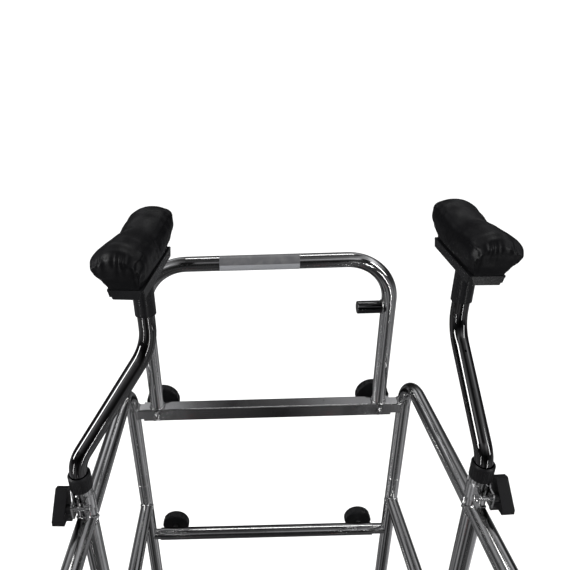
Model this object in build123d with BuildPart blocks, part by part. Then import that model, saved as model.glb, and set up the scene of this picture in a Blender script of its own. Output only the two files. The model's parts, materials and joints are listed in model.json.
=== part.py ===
"""Walking frame with underarm supports: a chromed tube frame on four casters.

Millimetres. Z is up from the floor, Y points the way the user walks, X is to the user's right.
The centre section (two telescopic crossbars and the front hoop) is the fixed body. Each side
frame slides in the crossbars and carries a cranked post with a swivelling underarm pad.
"""
from math import cos, radians, sin
import os

from build123d import *

# ---- driving dimensions -------------------------------------------------------------------
TUBE_R = 12.5            # frame tube, 25 mm outside
TUBE_BORE_R = 10.7
SIDE_X = 255             # side frame plane, from the middle
GUIDE_Y = 23             # plane of the two guide tubes; puts the origin under the box centre
LEG_SPREAD = 290         # guide tube to front leg, and to rear leg
FRONT_Y = GUIDE_Y + LEG_SPREAD
REAR_Y = GUIDE_Y - LEG_SPREAD
RAIL_Z = 760             # upper rails, axis
RAIL_BEND_R = 60
LEG_JOINT_Z = 515        # butt joint between the bent tube and the lower leg
SPIGOT_LENGTH = 50
MID_RAIL_Z = 450

UPPER_BAR_Z = 695        # square telescopic crossbar, axis
LOWER_BAR_Z = 361        # round telescopic crossbar, axis
BAR_LEFT_X = -234        # the crossbars reach a little further to the left
UPPER_BAR_RIGHT_X = 228
LOWER_BAR_RIGHT_X = 221
SLIDE_INNER_X = 30       # inner end of each slide bar, from the middle
SQUARE = 26
SQUARE_BORE = 21.4
SLIDE_HALF = 10.62       # half width of the square bar and radius of the round one
SLIDE_WALL = 1.6

HOOP_LEFT_X = -208       # front hoop standing on the upper crossbar
HOOP_RIGHT_X = 206
HOOP_TOP_Z = 995
HOOP_BEND_R = 75
PEG_Z = 906
PEG_R = 11
PEG_LENGTH = 41

SCALLOPS = 10            # shallow grips round each knob
SCALLOP_R = 9
SCALLOP_DEPTH = 1.8
KNOB_BACK_Y = {UPPER_BAR_Z: 27, LOWER_BAR_Z: 20.5}    # back of the knob, from the bar's axis
KNOB_DEPTH = 18
NUT_DEPTH = 7.5
SCREW_R = 4

GUIDE_R = 12.5           # guide tube for the post, 25 mm outside
GUIDE_BORE_R = 11.38
GUIDE_TOP_Z = RAIL_Z + 70
COLLAR_Z = RAIL_Z + 54
COLLAR_HEIGHT = 23
COLLAR_R = 14.3
COLLAR_RIBS = 24

POST_R = 11.3
POST_BORE_R = 9.3
POST_BENDS_R = (36, 60)   # lower and upper bend of the crank
CRANK = 124              # sideways offset of the cranked post
POST_FOOT_Z = RAIL_Z - 285
CRANK_LOW_Z = RAIL_Z + 86
CRANK_HIGH_Z = RAIL_Z + 202
POST_END_Z = RAIL_Z + 298

SLEEVE_R = 13.5
SLEEVE_Z = RAIL_Z + 243
TRAY_Z = RAIL_Z + 305    # top face of the pad tray
TRAY_SHIFT = 6           # tray centre ahead of the sleeve
TRAY_WIDTH = 42
TRAY_LENGTH = 134
TRAY_SHEET = 2
TRAY_FLANGE = 10.5
PAD_BACK_Y = -71         # ends of the pad, from the middle of the tray
PAD_FRONT_Y = 90
PAD_HEIGHT = 54
PAD_DIP = 12
PAD_INNER_X = 24         # furthest reach of the pad inwards and outwards
PAD_OUTER_X = 34

BOLT_Y = -18             # clamp bolt, from the guide tube axis
BOLT_Z = RAIL_Z + 34
BOLT_R = 3
BAND_Z = RAIL_Z + 22
BAND_HEIGHT = 23
BAND_SHEET = 2
EAR_X = 9.5              # outer face of each clamp ear
EAR_Y = -25
LEVER_X = 17.5           # inner face of the lever, from the guide tube axis
LEVER_THICK = 15
LEVER_LEAN = 3           # degrees that the lever's blade leans in at the top

WHEEL_R = 50
WHEEL_WIDTH = 24
AXLE_R = 4
TRAIL = 30               # caster trail
FORK_GAP = 30
FORK_SHEET = 3
FORK_TOP_Z = 112
BEARING_R = 17
LEG_END_Z = 119
STEM_R = 10.6
STEM_LENGTH = 55
PEDAL_Y = -50            # brake pedal pivot, from the swivel axis
PEDAL_Z = 104
PEDAL_LENGTH = 34
PEDAL_WIDTH = 44

# Each arm: side of the frame, direction of the crank, turn of the pad, how far the post is
# raised, and how much higher the sleeve sits on the post.
ARMS = {
    "left": (-1, 43, -6.5, 8, 6),
    "right": (1, 92.5, -2, 0, 0),
}

# Each knob: place along its crossbar, height of the crossbar, and radius.
KNOBS = {
    "upper_left": (-202, UPPER_BAR_Z, 31.5),
    "upper_right": (203, UPPER_BAR_Z, 31.5),
    "lower_left": (-204, LOWER_BAR_Z, 28.5),
    "lower_right": (197, LOWER_BAR_Z, 28.5),
}

os.makedirs("parts", exist_ok=True)


def save(shape, name):
    """Label one finished piece and write its STEP file."""
    shape.label = name
    export_step(shape, f"parts/{name}.step")


def tube_along(points, bend_r, outer_r, bore_r=0):
    """Tube whose axis follows the points, bent at the given radius or radii; solid without a bore."""
    with BuildLine() as path:
        if len(points) > 2:
            FilletPolyline(*points, radius=bend_r)
        else:
            Line(*points)
    with BuildPart() as tube:
        with BuildSketch(Plane(origin=path.line @ 0, z_dir=path.line % 0)):
            Circle(outer_r)
            if bore_r:
                Circle(bore_r, mode=Mode.SUBTRACT)
        sweep(path=path.line)
    return tube.part


def placed(shape, x, y, z, turn=0):
    """Copy of a piece turned about the vertical and set down at a point."""
    return Pos(x, y, z) * Rot(0, 0, turn) * shape


# ---- centre section -----------------------------------------------------------------------
def screw_holes(bar_z):
    """Sketch of the screw holes in the far wall of one crossbar."""
    with BuildSketch(Plane((0, FRONT_Y + 5, bar_z), x_dir=(1, 0, 0), z_dir=(0, 1, 0))) as holes:
        for x, z, _ in KNOBS.values():
            if z == bar_z:
                with Locations((x, 0)):
                    Circle(SCREW_R + 0.3)
    return holes.sketch


with BuildPart() as upper_crossbar:
    with BuildSketch(Plane((BAR_LEFT_X, FRONT_Y, UPPER_BAR_Z), z_dir=(1, 0, 0))):
        RectangleRounded(SQUARE, SQUARE, 2.5)
        Rectangle(SQUARE_BORE, SQUARE_BORE, mode=Mode.SUBTRACT)
    extrude(amount=UPPER_BAR_RIGHT_X - BAR_LEFT_X)
    extrude(screw_holes(UPPER_BAR_Z), amount=10, mode=Mode.SUBTRACT)
save(upper_crossbar.part, "upper_crossbar")

with BuildPart() as lower_crossbar:
    with BuildSketch(Plane((BAR_LEFT_X, FRONT_Y, LOWER_BAR_Z), z_dir=(1, 0, 0))):
        Circle(TUBE_R)
        Circle(TUBE_BORE_R, mode=Mode.SUBTRACT)
    extrude(amount=LOWER_BAR_RIGHT_X - BAR_LEFT_X)
    extrude(screw_holes(LOWER_BAR_Z), amount=10, mode=Mode.SUBTRACT)
save(lower_crossbar.part, "lower_crossbar")

# The hoop stands on the upper crossbar and is welded to its top face.
hoop_foot_z = UPPER_BAR_Z + SQUARE / 2
hoop_path = [
    (HOOP_LEFT_X, FRONT_Y, hoop_foot_z),
    (HOOP_LEFT_X, FRONT_Y, HOOP_TOP_Z),
    (HOOP_RIGHT_X, FRONT_Y, HOOP_TOP_Z),
    (HOOP_RIGHT_X, FRONT_Y, hoop_foot_z),
]
save(tube_along(hoop_path, HOOP_BEND_R, TUBE_R, TUBE_BORE_R), "front_hoop")

# Capped peg welded to the inner side of the right hoop post.
with BuildPart() as hoop_peg:
    with BuildSketch(Plane((HOOP_RIGHT_X, FRONT_Y, PEG_Z), z_dir=(-1, 0, 0))):
        Circle(PEG_R)
    extrude(amount=PEG_LENGTH + TUBE_R)
    fillet(hoop_peg.faces().sort_by(Axis.X)[0].edges(), 1.5)
    with BuildSketch(Plane((HOOP_RIGHT_X, FRONT_Y, PEG_Z - 30))):
        Circle(TUBE_R)
    extrude(amount=60, mode=Mode.SUBTRACT)
save(hoop_peg.part, "hoop_peg")

# Blank sticker wrapped over the user's side of the hoop's top tube.
with BuildPart() as blank_label:
    with BuildSketch(Plane((-78, FRONT_Y, HOOP_TOP_Z), x_dir=(0, 1, 0), z_dir=(1, 0, 0))):
        Circle(TUBE_R + 0.4)
        Circle(TUBE_R, mode=Mode.SUBTRACT)
        with Locations((TUBE_R + 2, 0)):
            Rectangle(2 * TUBE_R, 3 * TUBE_R, mode=Mode.SUBTRACT)
    extrude(amount=130)
save(blank_label.part, "blank_label")

# Hexagon nuts welded over the four screw holes.
with BuildPart() as crossbar_nuts:
    for x, bar_z, _ in KNOBS.values():
        face_y = FRONT_Y + (SQUARE / 2 if bar_z == UPPER_BAR_Z else TUBE_R)
        with BuildSketch(Plane((x, face_y, bar_z), x_dir=(1, 0, 0), z_dir=(0, 1, 0))):
            RegularPolygon(8.5, 6)
            Circle(SCREW_R + 0.06, mode=Mode.SUBTRACT)
        extrude(amount=NUT_DEPTH)
save(crossbar_nuts.part, "crossbar_nuts")


def knob_grip(x, bar_z, radius):
    """Round grip with shallow scallops and a domed front, bored for its screw."""
    back = Plane((x, FRONT_Y + KNOB_BACK_Y[bar_z], bar_z), z_dir=(0, 1, 0))
    with BuildPart() as grip:
        with BuildSketch(back):
            Circle(radius)
        extrude(amount=KNOB_DEPTH)
        fillet(grip.faces().sort_by(Axis.Y)[-1].edges(), 7)
        chamfer(grip.faces().sort_by(Axis.Y)[0].edges(), 1.5)
        with BuildSketch(back):
            with PolarLocations(radius + SCALLOP_R - SCALLOP_DEPTH, SCALLOPS):
                Circle(SCALLOP_R)
        extrude(amount=KNOB_DEPTH, mode=Mode.SUBTRACT)
        with BuildSketch(back.offset(KNOB_DEPTH - 3)):
            Circle(10)
        extrude(amount=3, mode=Mode.SUBTRACT)
        with BuildSketch(back):
            Circle(SCREW_R)
        extrude(amount=KNOB_DEPTH, mode=Mode.SUBTRACT)
    return grip.part


def knob_screw(x, bar_z):
    """Screw fast in a grip; its tip stops just short of the slide bar."""
    tip_y = FRONT_Y + SLIDE_HALF + 0.4
    head_y = FRONT_Y + KNOB_BACK_Y[bar_z] + KNOB_DEPTH - 1
    return tube_along([(x, tip_y, bar_z), (x, head_y, bar_z)], 0, SCREW_R)


for name, (x, bar_z, radius) in KNOBS.items():
    save(knob_grip(x, bar_z, radius), f"{name}_knob")
    save(knob_screw(x, bar_z), f"{name}_knob_screw")


# ---- side frames --------------------------------------------------------------------------
def frame_path(x, leg_y, foot_z):
    """Axis of half the upper rail with its leg: out from the guide tube, round and down."""
    return [(x, GUIDE_Y, RAIL_Z), (x, leg_y, RAIL_Z), (x, leg_y, foot_z)]


def frame_tube(x, leg_y):
    """Half of the upper rail with its leg, coped onto the guide tube."""
    bent = tube_along(frame_path(x, leg_y, LEG_JOINT_Z), RAIL_BEND_R, TUBE_R, TUBE_BORE_R)
    with BuildPart() as tube:
        add(bent)
        with BuildSketch(Plane((x, GUIDE_Y, RAIL_Z - 20))):
            Circle(GUIDE_R + 0.01)
        extrude(amount=40, mode=Mode.SUBTRACT)
    return tube.part


def lower_leg(x, leg_y):
    """Straight lower leg with a turned-down spigot that plugs into the bent tube."""
    with BuildPart() as leg:
        with BuildSketch(Plane((x, leg_y, LEG_END_Z))):
            Circle(TUBE_R)
        extrude(amount=LEG_JOINT_Z - LEG_END_Z)
        chamfer(leg.faces().sort_by(Axis.Z)[-1].edges(), 0.8)
        with BuildSketch(Plane((x, leg_y, LEG_JOINT_Z))):
            Circle(TUBE_BORE_R - 0.05)
        extrude(amount=SPIGOT_LENGTH)
        with BuildSketch(Plane((x, leg_y, LEG_END_Z))):
            Circle(TUBE_BORE_R)
        extrude(amount=LEG_JOINT_Z - LEG_END_Z - 20, mode=Mode.SUBTRACT)
        with BuildSketch(Plane((x, leg_y, LEG_JOINT_Z - 20))):
            Circle(TUBE_BORE_R - 1.8)
        extrude(amount=SPIGOT_LENGTH + 20, mode=Mode.SUBTRACT)
    return leg.part


def mid_rail(x):
    """Rail between the two lower legs, coped to both."""
    ends = [(x, REAR_Y, MID_RAIL_Z), (x, FRONT_Y, MID_RAIL_Z)]
    straight = tube_along(ends, 0, TUBE_R, TUBE_BORE_R)
    with BuildPart() as rail:
        add(straight)
        for leg_y in (FRONT_Y, REAR_Y):
            with BuildSketch(Plane((x, leg_y, MID_RAIL_Z - 20))):
                Circle(TUBE_R + 0.01)
            extrude(amount=40, mode=Mode.SUBTRACT)
    return rail.part


def guide_tube(x):
    """Upright tube that holds the post: coped onto the mid rail, slotted at the top."""
    with BuildPart() as tube:
        with BuildSketch(Plane((x, GUIDE_Y, MID_RAIL_Z + 5))):
            Circle(GUIDE_R)
            Circle(GUIDE_BORE_R, mode=Mode.SUBTRACT)
        extrude(amount=GUIDE_TOP_Z - MID_RAIL_Z - 5)
        with BuildSketch(Plane((x, GUIDE_Y - 20, MID_RAIL_Z), z_dir=(0, 1, 0))):
            Circle(TUBE_R + 0.01)
        extrude(amount=40, mode=Mode.SUBTRACT)
        with BuildSketch(Plane((x, GUIDE_Y - GUIDE_R, RAIL_Z + 14))):
            Rectangle(2.4, 8)
        extrude(amount=60, mode=Mode.SUBTRACT)
    return tube.part


def slide_bar(side, bar_z, section):
    """Bar of the given hollow section, from inside a crossbar out to the front leg."""
    x = side * SIDE_X
    leg = tube_along(frame_path(x, FRONT_Y, LEG_END_Z), RAIL_BEND_R, TUBE_R + 0.01)
    with BuildPart() as bar:
        with BuildSketch(Plane((side * SLIDE_INNER_X, FRONT_Y, bar_z), z_dir=(side, 0, 0))):
            add(section)
        extrude(amount=SIDE_X - SLIDE_INNER_X)
        add(leg, mode=Mode.SUBTRACT)
    return bar.part


def clamp_band(x):
    """Strap round the guide tube; its two ears close on the slot when the bolt is drawn up."""
    outer_r = GUIDE_R + 0.02 + BAND_SHEET
    with BuildPart() as band:
        with BuildSketch(Plane((x, GUIDE_Y, BAND_Z))):
            for half, mode in ((0, Mode.ADD), (BAND_SHEET, Mode.SUBTRACT)):
                Circle(outer_r - half, mode=mode)
                with BuildLine():
                    Polyline(
                        (outer_r - half, -2),
                        (EAR_X - half, -12),
                        (EAR_X - half, EAR_Y - half),
                        (half - EAR_X, EAR_Y - half),
                        (half - EAR_X, -12),
                        (half - outer_r, -2),
                        close=True,
                    )
                make_face(mode=mode)
        extrude(amount=BAND_HEIGHT)
        with BuildSketch(Plane((x - 20, GUIDE_Y + BOLT_Y, BOLT_Z), z_dir=(1, 0, 0))):
            Circle(BOLT_R + 0.05)
        extrude(amount=40, mode=Mode.SUBTRACT)
        ear_edges = band.edges().filter_by(Axis.X).group_by(Axis.Y)[0]
        fillet(ear_edges, 4)
    return band.part


def clamp_bolt(side):
    """Bolt through both ears: domed head on the inner side, shank running on into the lever."""
    inner = Plane(
        (side * (SIDE_X - EAR_X), GUIDE_Y + BOLT_Y, BOLT_Z), x_dir=(0, 1, 0), z_dir=(side, 0, 0)
    )
    with BuildPart() as bolt:
        with BuildSketch(inner):
            Circle(4.8)
        extrude(amount=-4.5)
        fillet(bolt.faces().sort_by(Axis.X)[0 if side > 0 else -1].edges(), 2)
        with BuildSketch(inner):
            Circle(BOLT_R)
        extrude(amount=EAR_X + LEVER_X + 10)
    return bolt.part


def clamp_lever(side):
    """Fan-shaped lever outside the guide tube, on a hub that turns on the bolt."""
    lean = radians(LEVER_LEAN)
    face = Plane(
        (side * (SIDE_X + LEVER_X), GUIDE_Y, BOLT_Z),
        x_dir=(0, 1, 0),
        z_dir=(side * cos(lean), 0, sin(lean)),
    )
    hub = Plane((side * (SIDE_X + EAR_X), GUIDE_Y + BOLT_Y, BOLT_Z), x_dir=(0, 1, 0), z_dir=(side, 0, 0))
    up = side
    with BuildPart() as lever:
        with BuildSketch(face):
            with BuildLine():
                Polyline(
                    (-33, up * -15),
                    (-33, up * -6),
                    (-6, up * 23),
                    (3, up * 19),
                    (-2, up * -35),
                    (-8, up * -35),
                )
                ThreePointArc((-8, up * -35), (-15.5, up * -19), (-33, up * -15))
            make_face()
            fillet(vertices(), 2.5)
        extrude(amount=LEVER_THICK)
        with BuildSketch(hub.offset(0.3)):
            Circle(6)
        extrude(amount=LEVER_X - EAR_X + 2)
        with BuildSketch(hub):
            Circle(BOLT_R + 0.05)
        extrude(amount=LEVER_X - EAR_X + 10.5, mode=Mode.SUBTRACT)
    return lever.part


with BuildSketch() as square_section:
    RectangleRounded(2 * SLIDE_HALF, 2 * SLIDE_HALF, 2)
    Rectangle(2 * (SLIDE_HALF - SLIDE_WALL), 2 * (SLIDE_HALF - SLIDE_WALL), mode=Mode.SUBTRACT)
with BuildSketch() as round_section:
    Circle(SLIDE_HALF)
    Circle(SLIDE_HALF - SLIDE_WALL, mode=Mode.SUBTRACT)

for name, side in (("left", -1), ("right", 1)):
    x = side * SIDE_X
    save(frame_tube(x, FRONT_Y), f"{name}_front_frame_tube")
    save(frame_tube(x, REAR_Y), f"{name}_rear_frame_tube")
    save(lower_leg(x, FRONT_Y), f"{name}_front_lower_leg")
    save(lower_leg(x, REAR_Y), f"{name}_rear_lower_leg")
    save(mid_rail(x), f"{name}_mid_rail")
    save(guide_tube(x), f"{name}_guide_tube")
    save(slide_bar(side, UPPER_BAR_Z, square_section.sketch), f"{name}_upper_slide_bar")
    save(slide_bar(side, LOWER_BAR_Z, round_section.sketch), f"{name}_lower_slide_bar")
    save(clamp_band(x), f"{name}_clamp_band")
    save(clamp_bolt(side), f"{name}_clamp_bolt")
    save(clamp_lever(side), f"{name}_clamp_lever")


# ---- underarm supports --------------------------------------------------------------------
# These pieces are built upright on the Z axis, then set down on each arm.

# Ribbed collar on the top of the guide tube, with a flared mouth for the bend of the post.
with BuildPart() as collar:
    with BuildSketch(Plane.XY.offset(COLLAR_Z)):
        Circle(COLLAR_R)
        with PolarLocations(COLLAR_R + 0.4, COLLAR_RIBS):
            Circle(0.8, mode=Mode.SUBTRACT)
    extrude(amount=COLLAR_HEIGHT - 5)
    with BuildSketch(Plane.XY.offset(COLLAR_Z + COLLAR_HEIGHT - 5)):
        Circle(COLLAR_R)
    extrude(amount=5)
    chamfer(collar.faces().sort_by(Axis.Z)[-1].edges(), 1.8)
    with BuildSketch(Plane.XY.offset(COLLAR_Z)):
        Circle(GUIDE_R + 0.08)
    extrude(amount=GUIDE_TOP_Z - COLLAR_Z + 0.1, mode=Mode.SUBTRACT)
    with BuildSketch(Plane.XY.offset(COLLAR_Z)):
        Circle(POST_R + 0.1)
    extrude(amount=COLLAR_HEIGHT, mode=Mode.SUBTRACT)
    with BuildSketch(Plane.XY.offset(GUIDE_TOP_Z + 0.1)):
        Circle(POST_R + 0.1)
    with BuildSketch(Plane.XY.offset(COLLAR_Z + COLLAR_HEIGHT)):
        Circle(POST_R + 1)
    loft(mode=Mode.SUBTRACT)

# Sleeve that turns on the top of the post, welded under the tray.
with BuildPart() as sleeve:
    with BuildSketch(Plane.XY.offset(SLEEVE_Z)):
        Circle(SLEEVE_R)
        Circle(POST_R + 0.08, mode=Mode.SUBTRACT)
    extrude(amount=TRAY_Z - TRAY_SHEET - SLEEVE_Z)

# Sheet tray: flat plate with four turned-down flanges, open at the corners.
with BuildPart() as tray:
    with BuildSketch(Plane((0, TRAY_SHIFT, TRAY_Z - TRAY_SHEET))):
        RectangleRounded(TRAY_WIDTH, TRAY_LENGTH, 2)
    extrude(amount=TRAY_SHEET)
    for turn in (0, 90, 180, 270):
        edge = TRAY_WIDTH if turn % 180 == 0 else TRAY_LENGTH
        reach = (TRAY_LENGTH if turn % 180 == 0 else TRAY_WIDTH) / 2
        out = Vector(0, 1, 0).rotate(Axis.Z, turn)
        top = Vector(0, TRAY_SHIFT, TRAY_Z - TRAY_SHEET / 2) + out * (reach - TRAY_SHEET)
        with BuildSketch(Plane(top, x_dir=Vector(0, 0, 1).cross(out), z_dir=out)):
            with BuildLine():
                Polyline(
                    (-edge / 2 + 2, 0),
                    (edge / 2 - 2, 0),
                    (edge / 2 - 6, -TRAY_FLANGE),
                    (-edge / 2 + 6, -TRAY_FLANGE),
                    close=True,
                )
            make_face()
        extrude(amount=TRAY_SHEET)

def pad(side):
    """Saddle-shaped cushion: full at both ends, dipped in the middle, and wider than its tray."""
    length = PAD_FRONT_Y - PAD_BACK_Y
    with BuildPart() as cushion:
        for t in (0, 0.07, 0.3, 0.5, 0.7, 0.93, 1):
            full = min(1, 12 * min(t, 1 - t) + 0.2)
            top = PAD_HEIGHT * (0.7 + 0.3 * full) - PAD_DIP * max(0, 1 - (3.2 * (t - 0.5)) ** 2)
            inner = 19 + (PAD_INNER_X - 19) * full
            outer = 22 + (PAD_OUTER_X - 22 - 4 * t) * full
            centre = Vector(0, TRAY_SHIFT + PAD_BACK_Y + length * t, TRAY_Z)
            with BuildSketch(Plane(centre, x_dir=(-side, 0, 0), z_dir=(0, side, 0))):
                with BuildLine():
                    Polyline(
                        (18, 0),
                        (inner, top * 0.64),
                        (inner - 6, top),
                        (8 - outer, top),
                        (-outer, top * 0.64),
                        (-20, 0),
                        close=True,
                    )
                make_face()
                fillet(vertices().group_by(Axis.Y)[-1], 9)
        loft(ruled=True)
    return cushion.part


def arm_post(x, crank_to, raised, vented):
    """Cranked post: up out of the guide tube, across, and up again into the sleeve."""
    shift = (CRANK * cos(radians(crank_to)), CRANK * sin(radians(crank_to)))
    points = [
        (x, GUIDE_Y, POST_FOOT_Z + raised),
        (x, GUIDE_Y, CRANK_LOW_Z + raised),
        (x + shift[0], GUIDE_Y + shift[1], CRANK_HIGH_Z + raised),
        (x + shift[0], GUIDE_Y + shift[1], POST_END_Z + raised),
    ]
    bent = tube_along(points, POST_BENDS_R, POST_R, POST_BORE_R)
    with BuildPart() as post:
        add(bent)
        if vented:
            low = Vector(*points[1])
            slope = Vector(*points[2]) - low
            across = Vector(shift[0], shift[1], 0).normalized().cross(slope.normalized())
            with BuildSketch(Plane(low + slope * 0.78, z_dir=slope.cross(across))):
                Circle(1.6)
            extrude(amount=-2 * POST_R, mode=Mode.SUBTRACT)
    return post.part


for name, (side, crank_to, pad_turn, raised, seat) in ARMS.items():
    x = side * SIDE_X
    top_x = x + CRANK * cos(radians(crank_to))
    top_y = GUIDE_Y + CRANK * sin(radians(crank_to))
    save(placed(collar.part, x, GUIDE_Y, 0), f"{name}_post_collar")
    save(arm_post(x, crank_to, raised, name == "right"), f"{name}_arm_post")
    save(placed(sleeve.part, top_x, top_y, raised + seat, pad_turn), f"{name}_tray_sleeve")
    save(placed(tray.part, top_x, top_y, raised + seat, pad_turn), f"{name}_tray")
    save(placed(pad(side), top_x, top_y, raised + seat, pad_turn), f"{name}_pad")


# ---- casters ------------------------------------------------------------------------------
# Built with the swivel axis on Z and the wheel trailing towards -Y.

def caster_fork(braked):
    """Bearing, stem, top plate and two cheeks; a braked one has ears for the pedal pin."""
    with BuildPart() as fork:
        with BuildSketch(Plane((-FORK_GAP / 2 - FORK_SHEET, 0, 0), x_dir=(0, 1, 0), z_dir=(1, 0, 0))):
            with BuildLine():
                Polyline(
                    (17, FORK_TOP_Z),
                    (-20, FORK_TOP_Z),
                    (-TRAIL - 13, WHEEL_R + 3),
                    (-TRAIL - 9, WHEEL_R - 9),
                    (-TRAIL + 9, WHEEL_R - 9),
                    (17, FORK_TOP_Z - 12),
                    close=True,
                )
            make_face()
            with Locations((-TRAIL, WHEEL_R)):
                Circle(13)
            if braked:
                with BuildLine():
                    Polyline(
                        (-10, FORK_TOP_Z),
                        (PEDAL_Y, PEDAL_Z + 6),
                        (PEDAL_Y, PEDAL_Z - 6),
                        (-10, 80),
                        close=True,
                    )
                make_face()
                with Locations((PEDAL_Y, PEDAL_Z)):
                    Circle(6)
        extrude(amount=FORK_GAP + 2 * FORK_SHEET)
        with BuildSketch(Plane((-FORK_GAP / 2, 0, 0), x_dir=(0, 1, 0), z_dir=(1, 0, 0))):
            with Locations((-20, FORK_TOP_Z - FORK_SHEET - 60)):
                Rectangle(160, 120)
        extrude(amount=FORK_GAP, mode=Mode.SUBTRACT)
        with BuildSketch(Plane((-30, 0, 0), x_dir=(0, 1, 0), z_dir=(1, 0, 0))):
            with Locations((-TRAIL, WHEEL_R)):
                Circle(AXLE_R)
            if braked:
                with Locations((PEDAL_Y, PEDAL_Z)):
                    Circle(2.55)
        extrude(amount=60, mode=Mode.SUBTRACT)
        with BuildSketch(Plane.XY.offset(FORK_TOP_Z)):
            Circle(BEARING_R)
        extrude(amount=LEG_END_Z - FORK_TOP_Z - 0.5)
        with BuildSketch(Plane.XY.offset(LEG_END_Z - 0.5)):
            Circle(STEM_R)
        extrude(amount=STEM_LENGTH)
        chamfer(fork.faces().sort_by(Axis.Z)[-1].edges(), 2)
    return fork.part


# Wheel: rounded tyre on a dished hub.
with BuildPart() as wheel:
    with BuildSketch(Plane((0, -TRAIL, WHEEL_R), x_dir=(0, 1, 0), z_dir=(1, 0, 0)).offset(-WHEEL_WIDTH / 2)):
        Circle(WHEEL_R)
    extrude(amount=WHEEL_WIDTH)
    fillet(wheel.edges().filter_by(GeomType.CIRCLE), 6)
    for end in (-1, 1):
        with BuildSketch(Plane((end * (WHEEL_WIDTH / 2 - 5), -TRAIL, WHEEL_R), z_dir=(end, 0, 0))):
            Circle(34)
            Circle(11, mode=Mode.SUBTRACT)
        extrude(amount=5, mode=Mode.SUBTRACT)
    with BuildSketch(Plane((-WHEEL_WIDTH / 2 - 1, -TRAIL, WHEEL_R), z_dir=(1, 0, 0))):
        Circle(11)
    extrude(amount=WHEEL_WIDTH + 2)
    with BuildSketch(Plane((-20, -TRAIL, WHEEL_R), z_dir=(1, 0, 0))):
        Circle(AXLE_R + 0.06)
    extrude(amount=40, mode=Mode.SUBTRACT)

# Axle bolt: shank through both cheeks, a head at one end and a nut at the other.
with BuildPart() as axle:
    cheek = FORK_GAP / 2 + FORK_SHEET
    with BuildSketch(Plane((-cheek - 8, -TRAIL, WHEEL_R), z_dir=(1, 0, 0))):
        Circle(AXLE_R)
    extrude(amount=2 * cheek + 13)
    for start, depth in ((-cheek, -5), (cheek, 6)):
        with BuildSketch(Plane((start, -TRAIL, WHEEL_R), z_dir=(1, 0, 0))):
            RegularPolygon(7.5, 6)
        extrude(amount=depth)

# Brake pedal: hub with its own pin between the ears, and a tread behind it.
with BuildPart() as pedal:
    pin = Plane((-FORK_GAP / 2 - FORK_SHEET - 1, PEDAL_Y, PEDAL_Z), z_dir=(1, 0, 0))
    with BuildSketch(pin):
        Circle(2.5)
    extrude(amount=FORK_GAP + 2 * FORK_SHEET + 2)
    with BuildSketch(pin.offset(FORK_SHEET + 1.5)):
        Circle(4.5)
    extrude(amount=FORK_GAP - 1)
    with BuildSketch(Plane((0, PEDAL_Y - 2, PEDAL_Z + 1.5))):
        with Locations((0, -6)):
            Rectangle(FORK_GAP - 1, 12)
        with Locations((0, -9 - (PEDAL_LENGTH - 9) / 2)):
            RectangleRounded(PEDAL_WIDTH, PEDAL_LENGTH - 9, 5)
    extrude(amount=3)

for name, side in (("left", -1), ("right", 1)):
    for end, leg_y in (("front", FRONT_Y), ("rear", REAR_Y)):
        x = side * SIDE_X
        save(placed(caster_fork(end == "rear"), x, leg_y, 0), f"{name}_{end}_caster_fork")
        save(placed(wheel.part, x, leg_y, 0), f"{name}_{end}_wheel")
        save(placed(axle.part, x, leg_y, 0), f"{name}_{end}_axle")
    save(placed(pedal.part, x, REAR_Y, 0), f"{name}_brake_pedal")
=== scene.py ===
import json
import math

import bpy
import bmesh
from mathutils import Matrix, Vector, noise


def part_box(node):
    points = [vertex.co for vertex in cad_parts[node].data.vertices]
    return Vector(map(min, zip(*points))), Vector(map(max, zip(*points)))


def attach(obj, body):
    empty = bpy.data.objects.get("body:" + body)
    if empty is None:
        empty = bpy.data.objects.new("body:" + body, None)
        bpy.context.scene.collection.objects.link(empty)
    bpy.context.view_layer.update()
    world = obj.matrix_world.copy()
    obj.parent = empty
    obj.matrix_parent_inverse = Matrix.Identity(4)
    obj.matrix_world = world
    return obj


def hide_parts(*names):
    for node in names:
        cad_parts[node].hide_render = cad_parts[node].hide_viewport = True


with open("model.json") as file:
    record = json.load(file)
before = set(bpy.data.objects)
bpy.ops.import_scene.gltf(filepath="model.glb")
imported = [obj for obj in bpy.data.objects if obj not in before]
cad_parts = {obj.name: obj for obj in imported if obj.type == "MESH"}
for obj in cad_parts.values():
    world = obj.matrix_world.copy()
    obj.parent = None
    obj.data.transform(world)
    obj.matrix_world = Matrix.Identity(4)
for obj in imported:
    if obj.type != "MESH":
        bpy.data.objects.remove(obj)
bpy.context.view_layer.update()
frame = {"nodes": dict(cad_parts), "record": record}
MM = 0.001
SCENE = bpy.context.scene


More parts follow.
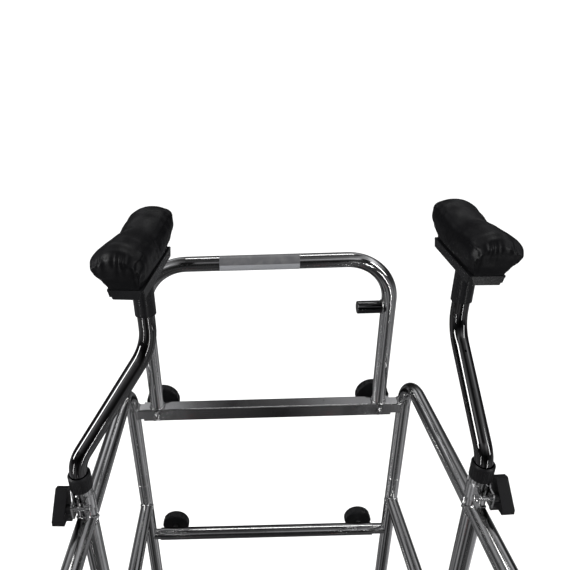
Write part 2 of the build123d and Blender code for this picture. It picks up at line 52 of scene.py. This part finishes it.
# ---- node helpers -------------------------------------------------------------------------
class Shader:
    """A material with a Principled shader and a few ways to feed it."""

    def __init__(self, name, color, metallic=0.0, roughness=0.4, specular=0.5):
        self.mat = bpy.data.materials.new(name)
        self.mat.use_nodes = True
        self.tree = self.mat.node_tree
        self.bsdf = self.tree.nodes["Principled BSDF"]
        self.bsdf.inputs["Base Color"].default_value = (*color, 1)
        self.bsdf.inputs["Metallic"].default_value = metallic
        self.bsdf.inputs["Roughness"].default_value = roughness
        self.bsdf.inputs["Specular IOR Level"].default_value = specular

    def add(self, kind, **values):
        node = self.tree.nodes.new(kind)
        for key, value in values.items():
            node.inputs[key].default_value = value
        return node

    def join(self, out, into):
        self.tree.links.new(out, into)

    def place(self, scale=(1, 1, 1), shift=(0, 0, 0)):
        """Object coordinates, moved and stretched."""
        coords = self.add("ShaderNodeTexCoord")
        mapping = self.add("ShaderNodeMapping", Scale=scale, Location=shift)
        self.join(coords.outputs["Object"], mapping.inputs["Vector"])
        return mapping.outputs["Vector"]

    def noise(self, scale, detail=3.0, stretch=(1, 1, 1), rough=0.5):
        node = self.add("ShaderNodeTexNoise", Scale=scale, Detail=detail, Roughness=rough)
        self.join(self.place(stretch), node.inputs["Vector"])
        return node.outputs["Fac"]

    def cells(self, scale):
        node = self.add("ShaderNodeTexVoronoi", Scale=scale)
        self.join(self.place(), node.inputs["Vector"])
        return node.outputs["Distance"]

    def ramp(self, fac, stops):
        """Colour ramp; each stop is a position and a grey value or a colour."""
        node = self.add("ShaderNodeValToRGB")
        elements = node.color_ramp.elements
        while len(elements) < len(stops):
            elements.new(0.5)
        for element, (at, value) in zip(elements, stops):
            element.position = at
            element.color = (*value, 1) if isinstance(value, tuple) else (value, value, value, 1)
        self.join(fac, node.inputs["Fac"])
        return node.outputs["Color"]

    def mix(self, fac, a, b):
        """Colour a where fac is 0 and b where it is 1; each is a socket."""
        node = self.tree.nodes.new("ShaderNodeMix")
        node.data_type = "RGBA"
        self.join(fac, node.inputs[0])
        self.join(a, node.inputs[6])
        self.join(b, node.inputs[7])
        return node.outputs[2]

    def bump(self, height, strength, distance, onto=None):
        node = self.add("ShaderNodeBump", Strength=strength, Distance=distance)
        self.join(height, node.inputs["Height"])
        if onto is not None:
            self.join(onto, node.inputs["Normal"])
        return node.outputs["Normal"]

    def color(self, out):
        self.join(out, self.bsdf.inputs["Base Color"])

    def rough(self, out):
        self.join(out, self.bsdf.inputs["Roughness"])

    def normal(self, out):
        self.join(out, self.bsdf.inputs["Normal"])


def plated(name, tone, rough, spread, smudge, grain):
    """Plated steel: uneven sheen, faint drawing marks, dull spots and smudges."""
    s = Shader(name, (tone, tone, tone), 1.0, rough)
    cloud = s.ramp(s.noise(11, 5), [(0.3, tone * (1 - smudge)), (0.7, tone * (1 + smudge))])
    spots = s.ramp(s.noise(140, 2, rough=0.6), [(0.66, 0.0), (0.78, 1.0)])
    dull = s.ramp(s.noise(4, 2), [(0, tone * 0.55), (1, tone * 0.62)])
    s.color(s.mix(spots, cloud, dull))
    s.rough(s.ramp(s.noise(38, 5), [(0.32, max(0.02, rough - spread)), (0.72, rough + spread)]))
    fine = s.bump(s.noise(420, 2, (1, 1, 0.12)), grain, 0.0003)
    s.normal(s.bump(s.noise(22, 3), 0.10, 0.0006, fine))
    return s.mat


def moulded(name, color, rough, spread, scale, grain):
    """Moulded or painted surface with a fine texture and worn, shinier patches."""
    s = Shader(name, color, 0, rough, 0.22)
    lighter = tuple(c * 1.9 + 0.001 for c in color)
    s.color(s.ramp(s.noise(25, 5), [(0.35, color), (0.8, lighter)]))
    s.rough(s.ramp(s.noise(60, 4), [(0.3, rough - spread), (0.7, rough + spread)]))
    s.normal(s.bump(s.noise(scale, 3), grain, 0.0003))
    return s.mat


def black_vinyl():
    """Vinyl: pebbled grain, faint long wrinkles, dusty lighter patches and a soft sheen."""
    s = Shader("black_vinyl", (0.0015, 0.0015, 0.002), 0, 0.4, 0.18)
    dark, dusty = (0.0010, 0.0010, 0.0014), (0.0022, 0.0022, 0.0028)
    s.color(s.ramp(s.noise(14, 5), [(0.35, dark), (0.75, dusty)]))
    s.rough(s.ramp(s.noise(30, 4), [(0.3, 0.34), (0.7, 0.46)]))
    pebble = s.bump(s.cells(900), 0.12, 0.0003)
    wrinkle = s.bump(s.noise(32, 3, (1, 0.45, 1)), 0.14, 0.0020, pebble)
    s.normal(s.bump(s.noise(130, 3, (1, 1, 0.5)), 0.07, 0.0006, wrinkle))
    return s.mat


LABEL_BAND = {"From Min": 0.990, "From Max": 1.003}    # heights between which the film changes tone


def label_film():
    """Matt film: a darker band along the upper part and a lighter one below."""
    s = Shader("label", (0.2, 0.2, 0.2), 0.3, 0.42)
    coords = s.add("ShaderNodeSeparateXYZ")
    s.join(s.place(), coords.inputs[0])
    band = s.add("ShaderNodeMapRange", **LABEL_BAND)
    s.join(coords.outputs["Z"], band.inputs["Value"])
    tones = s.ramp(band.outputs[0], [(0.42, (0.26, 0.265, 0.28)), (0.50, (0.10, 0.10, 0.105))])
    wear = s.ramp(s.noise(60, 5), [(0.45, 0.0), (0.9, 0.5)])
    scuff = s.ramp(s.noise(9, 2), [(0, 0.2), (1, 0.3)])
    s.color(s.mix(wear, tones, scuff))
    s.rough(s.ramp(s.noise(50, 3), [(0.3, 0.36), (0.7, 0.5)]))
    return s.mat


HUB_EDGE = {"From Min": 0.0335, "From Max": 0.0345}    # radii between which hub turns to tread


def wheel_rubber(centre):
    """Grey tread round a darker moulded hub; the change is at a radius from the wheel's axis."""
    s = Shader("rubber", (0.1, 0.1, 0.1), 0, 0.55, 0.3)
    length = s.tree.nodes.new("ShaderNodeVectorMath")
    length.operation = "LENGTH"
    s.join(s.place((0, 1, 1), (0, -centre.y, -centre.z)), length.inputs[0])
    reach = s.add("ShaderNodeMapRange", **HUB_EDGE)
    s.join(length.outputs["Value"], reach.inputs["Value"])
    hub = s.ramp(s.noise(50, 4), [(0.3, (0.035, 0.036, 0.038)), (0.75, (0.055, 0.056, 0.058))])
    tread = s.ramp(s.noise(40, 5), [(0.3, (0.12, 0.12, 0.118)), (0.7, (0.19, 0.188, 0.18))])
    s.color(s.mix(reach.outputs[0], hub, tread))
    s.rough(s.ramp(s.noise(70, 3), [(0.3, 0.42), (0.7, 0.62)]))
    s.normal(s.bump(s.noise(500, 3), 0.2, 0.0004))
    return s.mat


materials = {
    "satin_chrome": plated("satin_chrome", 0.48, 0.12, 0.05, 0.12, 0.08),
    # Base tone 0.10 is far below any chrome: painted shade in the base colour, standing in for the
    # dark room that the polished posts reflect
    "bright_chrome": plated("bright_chrome", 0.10, 0.035, 0.02, 0.15, 0.03),
    "zinc": plated("zinc", 0.50, 0.15, 0.06, 0.25, 0.12),
    "black_plastic": moulded("black_plastic", (0.0032, 0.0032, 0.0036), 0.36, 0.07, 900, 0.2),
    "black_paint": moulded("black_paint", (0.0035, 0.0035, 0.004), 0.27, 0.06, 500, 0.15),
    "red_plastic": moulded("red_plastic", (0.30, 0.012, 0.010), 0.4, 0.07, 700, 0.15),
    "black_vinyl": black_vinyl(),
    "label": label_film(),
}

slot_of = {sub["node"]: sub["material_slot"] for sub in frame["record"]["subparts"]}
for name, node in frame["nodes"].items():
    slot = slot_of[name]
    node.data.materials.clear()
    if slot == "rubber":
        lo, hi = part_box(name)
        node.data.materials.append(wheel_rubber((lo + hi) / 2))
    else:
        node.data.materials.append(materials[slot])


def add_mesh(name, mesh, slot, body):
    """Object for a finished mesh, in the record's slot and riding on a body."""
    piece = bpy.data.objects.new(name, mesh)
    SCENE.collection.objects.link(piece)
    mesh.materials.append(materials[slot])
    mesh.shade_smooth()
    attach(piece, body)
    return piece


# ---- weld beads ---------------------------------------------------------------------------
FACETS = 8


def turn_between(a, b):
    """How many facets ring b is turned against ring a."""
    def gap(turn):
        return sum((a[k].co - b[(k + turn) % FACETS].co).length for k in (0, 3, 6))

    return min(range(FACETS), key=gap)


def bead(name, points, radius, body, slot="satin_chrome", closed=True):
    """Rippled weld bead swept along a path."""
    bm = bmesh.new()
    rings = []
    count = len(points)
    for i, p in enumerate(points):
        ahead = points[(i + 1) % count] if closed or i < count - 1 else p
        behind = points[i - 1] if closed or i > 0 else p
        along = (ahead - behind).normalized()
        side = along.orthogonal().normalized()
        up = along.cross(side)
        wobble = noise.noise(p * 180)
        r = radius * (1 + 0.16 * math.sin(i * 2.1) + 0.35 * wobble)
        rings.append([
            bm.verts.new(p + (side * math.cos(a) + up * math.sin(a)) * r)
            for a in (math.tau * k / FACETS for k in range(FACETS))
        ])
    last = count if closed else count - 1
    for i in range(last):
        a, b = rings[i], rings[(i + 1) % count]
        twist = turn_between(a, b)
        for k in range(FACETS):
            after = (k + 1) % FACETS
            bm.faces.new([a[k], a[after], b[(after + twist) % FACETS], b[(k + twist) % FACETS]])
    if not closed:
        bm.faces.new(rings[0][::-1])
        bm.faces.new(rings[-1])
    bmesh.ops.recalc_face_normals(bm, faces=bm.faces)
    mesh = bpy.data.meshes.new(name)
    bm.to_mesh(mesh)
    bm.free()
    return add_mesh(name, mesh, slot, body)


def ring(centre, radius, axis="Z", steps=46):
    """Points of a circle about a row axis."""
    points = []
    for k in range(steps):
        a = math.tau * k / steps
        c, s = math.cos(a) * radius, math.sin(a) * radius
        offset = {"Z": (c, s, 0), "X": (0, c, s), "Y": (c, 0, s)}[axis]
        points.append(Vector(centre) + Vector(offset))
    return points


def saddle(centre, radius, away, along="Z", steps=46):
    """Seam where a tube along Y (or X) meets a crossing tube of the same radius."""
    points = []
    for k in range(steps):
        a = math.tau * k / steps
        across, height = math.sin(a) * radius, math.cos(a) * radius
        depth = away * math.sqrt(max(0, radius * radius - across * across))
        if along == "Z":
            offset = (across, depth, height)
        elif along == "Y":
            offset = (height, across, depth)
        else:
            offset = (depth, across, height)
        points.append(Vector(centre) + Vector(offset))
    return points


def square_seam(x, side, reach):
    """Seam round the square slide bar at the leg; its flanks lie closer to the leg's axis."""
    points = []
    corners = ((-1, 1), (1, 1), (1, -1), (-1, -1))
    for (dy, dz), (next_dy, next_dz) in zip(corners, corners[1:] + corners[:1]):
        for k in range(10):
            across = dy + (next_dy - dy) * k / 10
            height = dz + (next_dz - dz) * k / 10
            near = x + side * FLANK_STEP * (abs(across) > 0.8)
            points.append(Vector((near, FRONT_Y + across * reach, UPPER_Z + height * reach)))
    return points


def spatter(x, reach):
    """Uneven zigzag of weld metal on the crossbar's near face, under a hoop upright."""
    points = []
    for k in range(14):
        drift = 0.4 + 0.6 * noise.noise(Vector((k, 3, x)))
        across = x + reach * math.sin(k * 2.4) * drift
        height = UPPER_Z + 0.009 * math.sin(k * 1.7 + 0.5)
        points.append(Vector((across, SPATTER_Y, height)))
    return points


# Axes and radii of the tubes that meet at the welds.
SIDES = (("left", -1), ("right", 1))
TUBE = 0.0125
SIDE_X, RAIL_Z, MID_Z = 0.255, 0.760, 0.450
GUIDE_Y, FRONT_Y, REAR_Y = 0.023, 0.313, -0.267
UPPER_Z, LOWER_Z = 0.695, 0.361
BAR_REACH = 0.0106
BAR_END = 0.0118
FLANK_STEP = 0.0035
HOOP_FOOT_Z = 0.7088
PEG_Z, PEG_R = 0.906, 0.0112
SPATTER_Y = FRONT_Y - 0.0146

for name, side in SIDES:
    body = f"{name}_side_frame"
    x = side * SIDE_X
    for end, away in (("front", 1), ("rear", -1)):
        bead(f"{name}_{end}_rail_weld", saddle((x, GUIDE_Y, RAIL_Z), TUBE, away), 0.0019, body)
    for end, y, away in (("front", FRONT_Y, -1), ("rear", REAR_Y, 1)):
        bead(f"{name}_{end}_mid_weld", saddle((x, y, MID_Z), TUBE, away), 0.0019, body)
    bead(f"{name}_guide_weld", saddle((x, GUIDE_Y, MID_Z), TUBE, 1, "Y"), 0.0017, body)
    lower_seam = saddle((x, FRONT_Y, LOWER_Z), BAR_REACH, -side, "X")
    bead(f"{name}_lower_bar_weld", lower_seam, 0.0015, body)
    upper_seam = square_seam(x - side * BAR_END, side, BAR_REACH)
    bead(f"{name}_upper_bar_weld", upper_seam, 0.0016, body)

hoop_low, hoop_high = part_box("front_hoop")
uprights = (("left", hoop_low.x + TUBE, 0.013), ("right", hoop_high.x - TUBE, 0.010))
for name, x, reach in uprights:
    bead(f"{name}_hoop_weld", ring((x, FRONT_Y, HOOP_FOOT_Z), TUBE), 0.0022, "centre_frame")
for name, x, reach in uprights:
    bead(f"{name}_hoop_blobs", spatter(x, reach), 0.0028, "centre_frame", closed=False)
peg_seam = ring((hoop_high.x - 2 * TUBE + 0.001, FRONT_Y, PEG_Z), PEG_R, "X", 36)
bead("peg_weld", peg_seam, 0.0014, "centre_frame")


# ---- pads ---------------------------------------------------------------------------------
def blend_at(stops, t):
    """Smooth value between a list of (place, value) pairs."""
    for (a, low), (b, high) in zip(stops, stops[1:]):
        if t <= b:
            s = (t - a) / (b - a)
            s = s * s * (3 - 2 * s)
            return low + (high - low) * s
    return stops[-1][1]


# Height of the pad along its length, and the reach of its sides from bottom to top.
PAD_TOP = [(0, 38), (0.05, 45), (0.14, 49), (0.26, 48), (0.5, 42.5), (0.74, 49.5), (0.88, 54),
           (0.965, 52), (1, 45)]
PAD_INNER = [(0, 17.5), (0.3, 22), (0.55, 24.5), (0.82, 21.5), (1, 15)]
PAD_OUTER = [(0, 20), (0.25, 26), (0.55, 34), (0.78, 36.5), (0.9, 32), (1, 24)]
PAD_BACK = [(0, -66), (0.4, -68), (0.75, -70), (1, -69)]
PAD_FRONT = [(0, 68), (0.4, 77), (0.8, 87), (1, 86)]
PAD_TURN = {"left": -6.5, "right": -2}
PUFF_CAP = 0.006


def pad_point(u, v, w):
    """Point of the pad's surface for a point of the cube: u outwards, v forwards, w up."""
    t, up = (v + 1) / 2, (w + 1) / 2
    y = blend_at(PAD_BACK, up) * (1 - t) + blend_at(PAD_FRONT, up) * t
    top = blend_at(PAD_TOP, t)
    slim = 1 - 0.10 * t
    tuck = 0.86 + 0.14 * min(1, 9 * min(t, 1 - t) + 0.25)
    outer = (20 + (blend_at(PAD_OUTER, up) - 20) * slim) * tuck
    inner = blend_at(PAD_INNER, up) * tuck
    x = (outer * (u + 1) - inner * (1 - u)) / 2 + (3.5 - 7 * t) * up
    crown = (7 - 2 * t) * abs(u) ** 2.2
    z = up * (top - crown * up)
    if abs(v) > 0.999:
        y += 1.5 * math.copysign(1, v) * (1 - u * u) * math.sin(math.pi * up)
    return x, y, z


def cube_grid(n_u, n_v, n_w):
    """Closed box mesh with a grid on each face, corners in [-1, 1]."""
    bm = bmesh.new()
    made = {}

    def vert(i, j, k):
        key = (i, j, k)
        if key not in made:
            made[key] = bm.verts.new((2 * i / n_u - 1, 2 * j / n_v - 1, 2 * k / n_w - 1))
        return made[key]

    def quad(*corners):
        bm.faces.new([vert(*corner) for corner in corners])

    for i in range(n_u):
        for j in range(n_v):
            quad((i, j, 0), (i, j + 1, 0), (i + 1, j + 1, 0), (i + 1, j, 0))
            quad((i, j, n_w), (i + 1, j, n_w), (i + 1, j + 1, n_w), (i, j + 1, n_w))
    for i in range(n_u):
        for k in range(n_w):
            quad((i, 0, k), (i + 1, 0, k), (i + 1, 0, k + 1), (i, 0, k + 1))
            quad((i, n_v, k), (i, n_v, k + 1), (i + 1, n_v, k + 1), (i + 1, n_v, k))
    for j in range(n_v):
        for k in range(n_w):
            quad((0, j, k), (0, j, k + 1), (0, j + 1, k + 1), (0, j + 1, k))
            quad((n_u, j, k), (n_u, j + 1, k), (n_u, j + 1, k + 1), (n_u, j, k + 1))
    return bm


def puff(piece, cap):
    """Blow the cover up with the cloth solver, its foot pinned, and keep each point within a cap."""
    mesh = piece.data
    start = [v.co.copy() for v in mesh.vertices]
    foot = piece.vertex_groups.new(name="foot")
    foot.add([v.index for v in mesh.vertices if v.co.z < 0.002], 1.0, "REPLACE")
    cloth = piece.modifiers.new("cloth", "CLOTH")
    settings = cloth.settings
    settings.quality = 6
    settings.mass = 0.3
    settings.tension_stiffness = settings.compression_stiffness = 18
    settings.shear_stiffness = 8
    settings.bending_stiffness = 0.6
    settings.use_pressure = True
    settings.uniform_pressure_force = 4
    settings.vertex_group_mass = "foot"
    settings.effector_weights.gravity = 0
    cloth.collision_settings.use_collision = False
    cloth.point_cache.frame_start, cloth.point_cache.frame_end = 1, 20
    for at in range(1, 21):
        SCENE.frame_set(at)
    shaped = piece.evaluated_get(bpy.context.evaluated_depsgraph_get()).to_mesh()
    moved = [v.co.copy() for v in shaped.vertices]
    piece.modifiers.remove(cloth)
    SCENE.frame_set(1)
    for v, was, now in zip(mesh.vertices, start, moved):
        step = now - was
        if step.length > cap:
            step *= cap / step.length
        v.co = was + step


def hump(value, centre, width):
    """Bell-shaped falloff round a centre."""
    return math.exp(-((value - centre) / width) ** 2)


def pleat(bm, side):
    """Gather the cover along the back crease, pinch its inner corners, and crumple it a little."""
    bm.normal_update()
    shift = {}
    for v in bm.verts:
        x, y, z = (c / MM for c in v.co)
        along = side * x
        crease = 36 - 0.04 * (along + 20)
        push = 0.0
        if y < -48:
            phase = 0.95 * along + 2.2 * math.sin(0.21 * along)
            push += 0.5 * hump(z, crease, 5.5) * min(1, (-48 - y) / 14) * math.cos(phase)
            push += 1.6 * hump(along, -20, 5) * hump(z, crease, 5)
            if y < -55:
                drop = max(0.0, 1 - abs(z - crease + 9) / 11) * min(1, (-55 - y) / 8)
                push += 0.25 * drop * math.cos(0.6 * phase + 1)
            if z < crease - 3:
                push -= 1.5 * hump(along, -17, 2.4) * min(1, z / 8)
        if y > 70:
            push += 2.2 * hump(along, -19, 6) * hump(z, 43, 6)
        broad = noise.noise(Vector((along / 26, y / 34, z / 26)))
        push += 0.4 * (broad + 0.5 * noise.noise(v.co * 110)) * min(1, z / 10)
        fold = hump(along, -21, 5) * min(1, z / 12)
        push += 0.35 * fold * math.sin(y * 0.32 + 1.3 * math.sin(y * 0.11) + z * 0.05)
        shift[v] = v.normal * push * MM
    for v, step in shift.items():
        v.co += step


def make_pad(name, side):
    """Saddle cushion over its tray, in the tray's own turned frame."""
    bm = cube_grid(26, 60, 20)
    for v in bm.verts:
        x, y, z = pad_point(*v.co)
        v.co = Vector((side * x, y, z)) * MM
    if side < 0:
        bmesh.ops.reverse_faces(bm, faces=bm.faces)
    free = [v for v in bm.verts if v.co.z > 0.002]
    axes = {f"use_axis_{axis}": True for axis in "xyz"}
    for _ in range(3):
        bmesh.ops.smooth_vert(bm, verts=free, factor=0.5, **axes)
    mesh = bpy.data.meshes.new(f"{name}_cushion")
    bm.to_mesh(mesh)
    bm.free()
    piece = add_mesh(f"{name}_cushion", mesh, "black_vinyl", f"{name}_support")
    puff(piece, PUFF_CAP)
    bm = bmesh.new()
    bm.from_mesh(mesh)
    bmesh.ops.subdivide_edges(bm, edges=bm.edges[:], cuts=1, use_grid_fill=True, smooth=0.6)
    pleat(bm, side)
    tray_low, tray_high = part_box(f"{name}_tray")
    middle = (tray_low + tray_high) / 2
    seat = Matrix.Translation((middle.x, middle.y, tray_high.z))
    turn = Matrix.Rotation(math.radians(PAD_TURN[name]), 4, "Z")
    bmesh.ops.transform(bm, matrix=seat @ turn, verts=bm.verts)
    bm.to_mesh(mesh)
    bm.free()
    mesh.shade_smooth()
    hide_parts(f"{name}_pad")
    return piece


for name, side in SIDES:
    make_pad(name, side)


# ---- stage --------------------------------------------------------------------------------
floor_mesh = bpy.data.meshes.new("floor")
floor_mesh.from_pydata([(-30, -30, 0), (30, -30, 0), (30, 30, 0), (-30, 30, 0)], [], [(0, 1, 2, 3)])
floor = bpy.data.objects.new("floor", floor_mesh)
SCENE.collection.objects.link(floor)
floor_mesh.materials.append(Shader("floor", (0.86, 0.86, 0.86), 0, 0.8, 0.05).mat)
floor.visible_glossy = False


# Brightness of the reflected room from straight down (0) to straight up (1).
ROOM_TONES = [(0.0, 0.22), (0.24, 0.17), (0.38, 0.12), (0.47, 0.03), (0.60, 0.02), (0.70, 0.14),
              (0.80, 0.62), (0.87, 0.22), (1.0, 0.12)]


def studio_world():
    """White for the eye and for diffuse light; a dim, uneven room in reflections."""
    world = bpy.data.worlds.new("studio")
    SCENE.world = world
    world.use_nodes = True
    tree = world.node_tree
    new, link = tree.nodes.new, tree.links.new

    def spread(source, from_min, from_max, to_min=0, to_max=1):
        node = new("ShaderNodeMapRange")
        limits = {"From Min": from_min, "From Max": from_max, "To Min": to_min, "To Max": to_max}
        for key, value in limits.items():
            node.inputs[key].default_value = value
        link(source, node.inputs["Value"])
        return node.outputs[0]

    def calc(operation, *sources):
        node = new("ShaderNodeMath")
        node.operation = operation
        for source, socket in zip(sources, node.inputs):
            link(source, socket)
        return node.outputs[0]

    white = tree.nodes["Background"]
    white.inputs["Color"].default_value = (1, 1, 1, 1)
    white.inputs["Strength"].default_value = 1.28
    room = new("ShaderNodeBackground")
    coords = new("ShaderNodeTexCoord").outputs["Generated"]
    split = new("ShaderNodeSeparateXYZ")
    link(coords, split.inputs[0])

    ramp = new("ShaderNodeValToRGB")
    elements = ramp.color_ramp.elements
    while len(elements) < len(ROOM_TONES):
        elements.new(0.5)
    for element, (at, value) in zip(elements, ROOM_TONES):
        element.position = at
        element.color = (value, value, value * 1.03, 1)
    link(spread(split.outputs["Z"], -1, 1), ramp.inputs["Fac"])
    link(ramp.outputs["Color"], room.inputs["Color"])

    flat = new("ShaderNodeMapping")
    flat.inputs["Scale"].default_value = (1, 1, 0.3)
    link(coords, flat.inputs["Vector"])
    clutter = new("ShaderNodeTexNoise")
    clutter.inputs["Scale"].default_value = 3.2
    clutter.inputs["Detail"].default_value = 3
    link(flat.outputs["Vector"], clutter.inputs["Vector"])
    patches = spread(clutter.outputs["Fac"], 0.36, 0.64, 0.25, 2.1)
    walls = spread(calc("ABSOLUTE", split.outputs["X"]), 0.05, 0.65, 0.35, 1.35)
    link(calc("MULTIPLY", patches, walls), room.inputs["Strength"])

    path = new("ShaderNodeLightPath")
    mix = new("ShaderNodeMixShader")
    link(path.outputs["Is Glossy Ray"], mix.inputs["Fac"])
    link(white.outputs[0], mix.inputs[1])
    link(room.outputs[0], mix.inputs[2])
    link(mix.outputs[0], tree.nodes["World Output"].inputs["Surface"])


studio_world()


def softbox(name, at, aim, size, power, lit=1.0):
    """Rectangular light; with lit at 0 it is seen in reflections only."""
    data = bpy.data.lights.new(name, "AREA")
    data.diffuse_factor = lit
    data.shape = "RECTANGLE"
    data.size, data.size_y = size
    data.energy = power
    lamp = bpy.data.objects.new(name, data)
    lamp.location = at
    lamp.rotation_mode = "QUATERNION"
    lamp.rotation_quaternion = (Vector(aim) - Vector(at)).to_track_quat("-Z", "Y")
    SCENE.collection.objects.link(lamp)


softbox("key", (-2.6, -0.6, 2.0), (0, 0.1, 0.8), (0.5, 2.0), 50)
softbox("fill", (2.6, -1.6, 1.9), (0, 0, 0.8), (0.35, 1.8), 22)
softbox("strip_left", (-1.5, -1.3, 0.35), (-0.2, 0, 0.85), (0.045, 0.9), 3, 0.0)
softbox("strip_right", (0.9, -1.7, 0.30), (0.25, 0, 0.85), (0.045, 0.9), 3, 0.0)
softbox("back", (0.3, 1.4, 3.4), (0, 0, 0.9), (1.6, 0.35), 10)

def aim_matrix(yaw, pitch, roll):
    """Orientation of a camera turned from straight ahead (+Y), tipped down and rolled, in degrees."""
    yaw, pitch, roll = (math.radians(a) for a in (yaw, pitch, roll))
    level = math.cos(pitch)
    forward = Vector((math.sin(yaw) * level, math.cos(yaw) * level, -math.sin(pitch)))
    right = Vector((math.cos(yaw), -math.sin(yaw), 0))
    down = forward.cross(right)
    image_x = right * math.cos(roll) + down * math.sin(roll)
    image_down = -right * math.sin(roll) + down * math.cos(roll)
    return Matrix((image_x, -image_down, -forward)).transposed().to_4x4()


EYE = (-0.0407, -0.4597, 1.3242)
camera_data = bpy.data.cameras.new("camera")
camera = bpy.data.objects.new("camera", camera_data)
SCENE.collection.objects.link(camera)
camera.matrix_world = Matrix.Translation(EYE) @ aim_matrix(-0.39, 25.56, 1.815)
camera_data.sensor_width = 36
camera_data.lens = 32.3722
camera_data.shift_x = 0.078947
camera_data.clip_start = 0.02
SCENE.camera = camera
SCENE.view_settings.view_transform = "Standard"
